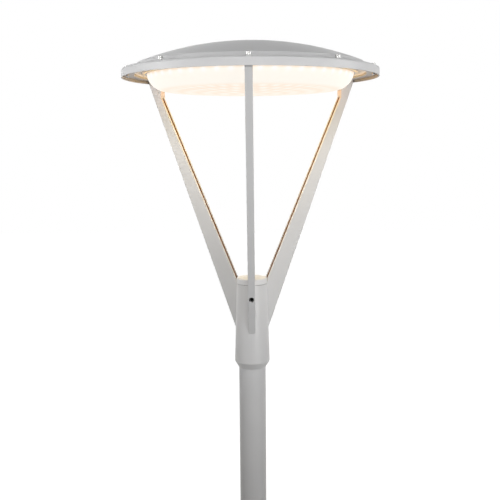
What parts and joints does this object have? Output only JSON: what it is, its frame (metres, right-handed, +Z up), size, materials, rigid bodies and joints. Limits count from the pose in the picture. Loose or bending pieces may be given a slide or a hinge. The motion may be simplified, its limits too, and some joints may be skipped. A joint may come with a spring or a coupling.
{
  "type": "post top luminaire",
  "caption": "Post-top garden light: shallow domed canopy and glowing bowl lens on tapered arms that rise from a conical hub on a round post.",
  "frame": {"origin": "centre of the post's lower end", "axes": "+Z up along the post; -Y towards the side that the picture shows, where one arm faces the viewer"},
  "size_m": [0.551, 0.551, 1.0538],
  "materials": {
    "coated_aluminium": "satin silver-grey powder coat",
    "stainless": "polished",
    "black_steel": "black oxide",
    "rubber": "matt",
    "dark_plastic": "matt",
    "opal_lens": "moulded translucent acrylic, lit from inside",
    "bare_aluminium": "mill",
    "white_board": "white solder mask",
    "led": "phosphor under clear silicone",
    "pale_plastic": "moulded",
    "grey_plastic": "moulded",
    "brass": "bright"
  },
  "bodies": {
    "post": {"post": "coated_aluminium"},
    "head": {"hub_body": "coated_aluminium", "arm_front": "coated_aluminium", "arm_right": "coated_aluminium", "arm_left": "coated_aluminium", "frame_ring": "coated_aluminium", "arm_cable_screws": "stainless", "arm_head_screws": "stainless", "lens_clamp_screws": "stainless", "tray_screws": "stainless", "led_board_screws": "stainless", "driver_screws": "stainless", "surge_screws": "stainless", "terminal_screws": "stainless", "hub_set_screws": "black_steel", "arm_root_screws": "black_steel", "hub_cap_gasket": "rubber", "hub_grommets": "rubber", "arm_grommets": "rubber", "canopy_seal": "rubber", "lens_seal": "rubber", "arm_wire_covers": "dark_plastic", "breather_vent": "dark_plastic", "lens": "opal_lens", "lens_clamp_ring": "bare_aluminium", "gear_tray": "bare_aluminium", "led_board": "white_board", "led_packages": "led", "driver": "pale_plastic", "surge_protector": "pale_plastic", "terminal_block": "grey_plastic", "terminal_clamps": "brass", "earth_stud": "brass", "earth_nut": "brass"},
    "cap": {"hub_cap": "coated_aluminium", "hub_cap_o_ring": "rubber"},
    "canopy": {"canopy": "coated_aluminium", "canopy_screws": "stainless", "canopy_washers": "stainless"}
  },
  "joints": [
    {"name": "head_swivel", "type": "hinge", "parent": "post", "child": "head", "pos_m": [0, 0, 0.34], "axis": [0, 0, 1], "range_deg": [-180, 180]},
    {"name": "canopy_lift", "type": "slide", "parent": "head", "child": "canopy", "axis": [0, 0, 1], "range_m": [0, 0.12]},
    {"name": "cap_lift", "type": "slide", "parent": "head", "child": "cap", "axis": [0, 0, 1], "range_m": [0, 0.06]}
  ]
}
